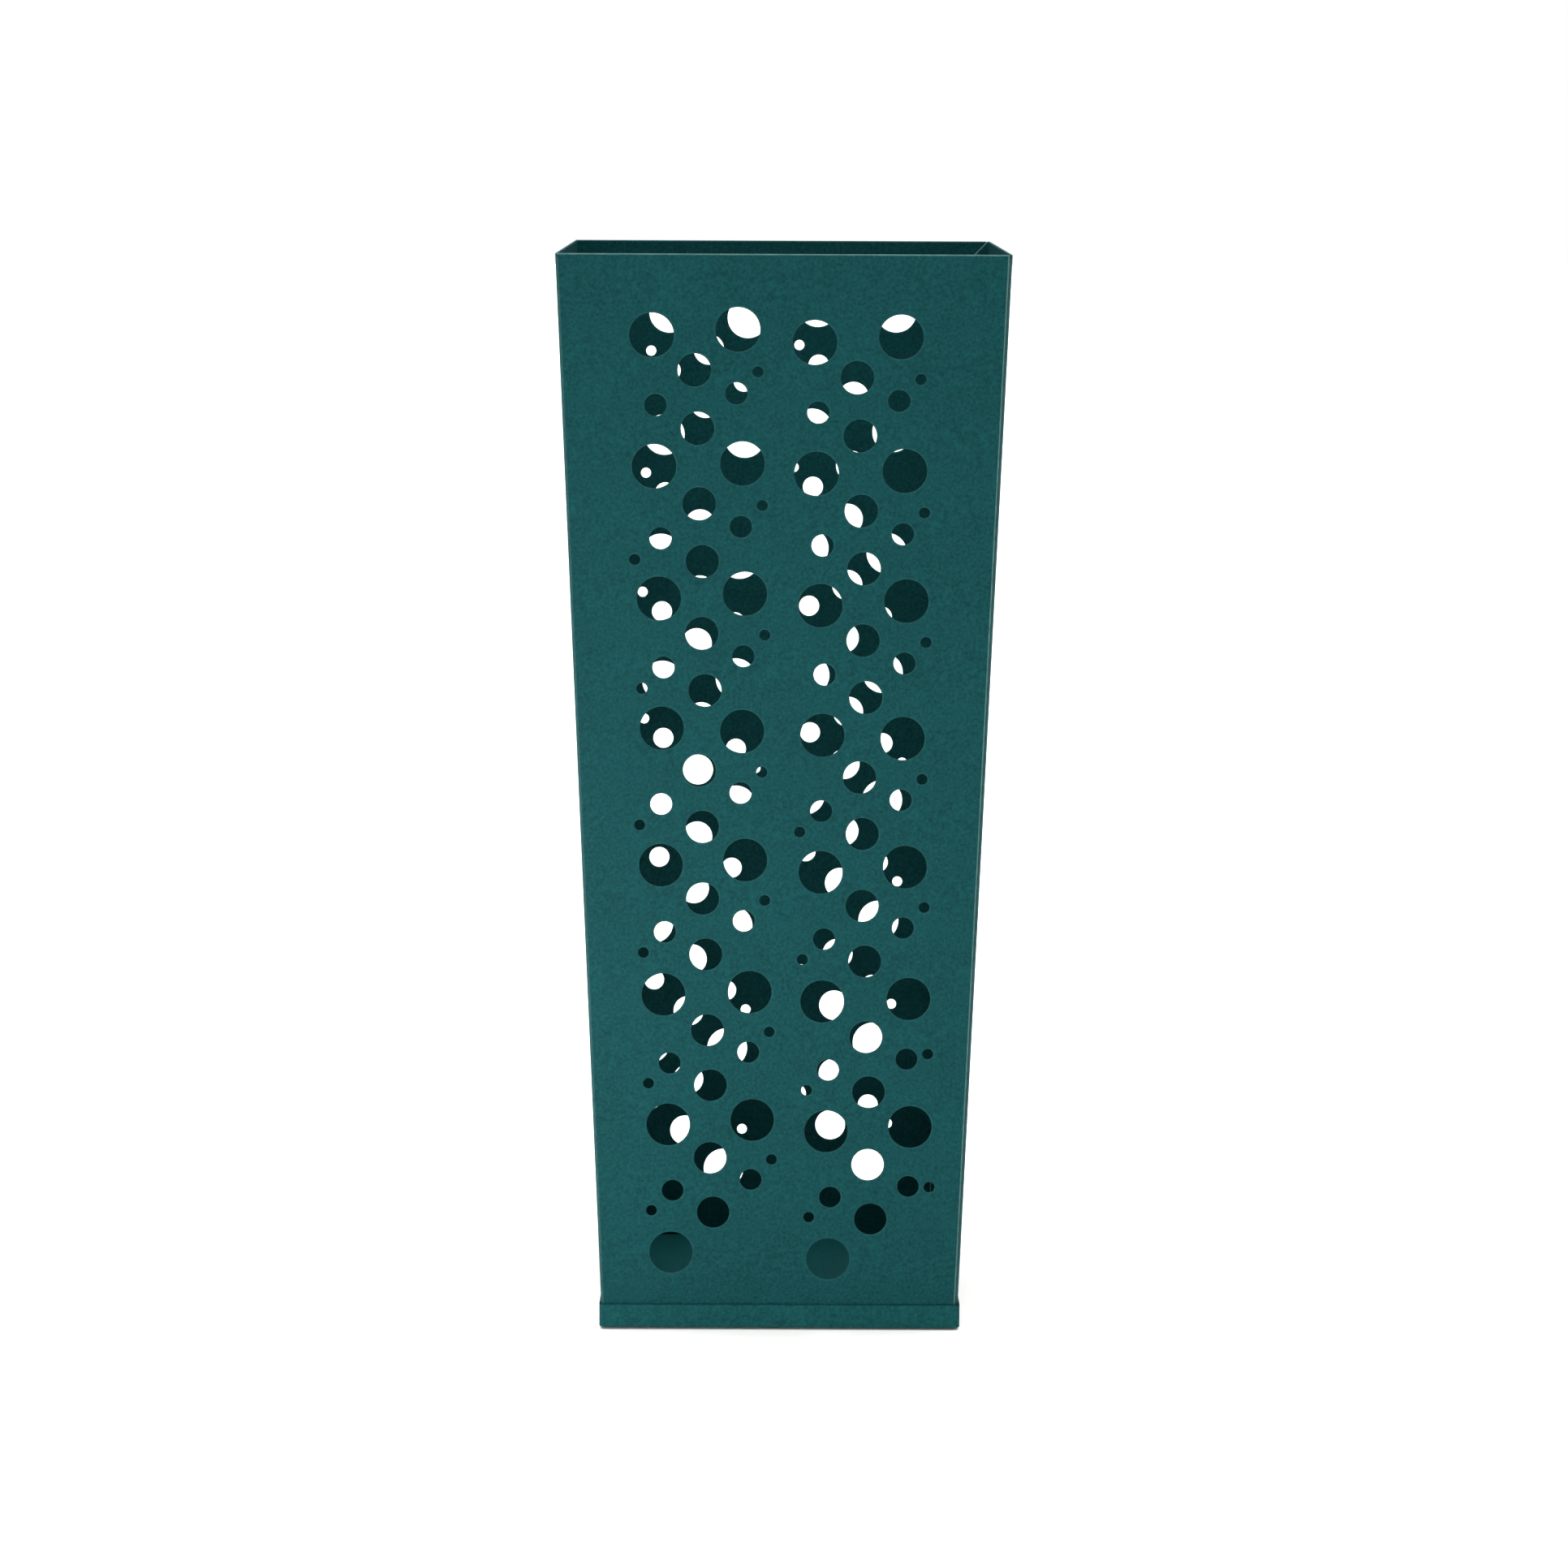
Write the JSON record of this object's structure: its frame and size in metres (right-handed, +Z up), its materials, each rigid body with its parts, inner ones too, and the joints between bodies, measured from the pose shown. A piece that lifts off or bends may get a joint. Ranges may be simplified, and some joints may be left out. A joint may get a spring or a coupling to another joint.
{
  "type": "umbrella stand",
  "caption": "Tall square umbrella stand of painted sheet steel, tapering down to a shallow drip tray and punched all over with round holes.",
  "frame": {"origin": "on the floor under the middle of the stand", "axes": "+Z up, the front wall faces -Y, +X to the right seen from the front"},
  "size_m": [0.2, 0.2, 0.49],
  "materials": {
    "body_coat": "dark teal powder coat, fine orange peel, low satin sheen",
    "tray_coat": "dark teal powder coat, the same as the body",
    "pad_rubber": "matte black foam rubber"
  },
  "bodies": {
    "tray": {"base_tray": "tray_coat", "foot_pad_front_left": "pad_rubber", "foot_pad_front_right": "pad_rubber", "foot_pad_back_left": "pad_rubber", "foot_pad_back_right": "pad_rubber"},
    "body": {"body_wrap": "body_coat", "right_side": "body_coat"}
  },
  "joints": [
    {"name": "body_lift", "type": "slide", "parent": "tray", "child": "body", "axis": [0, 0, 1], "range_m": [0, 0.08]}
  ]
}
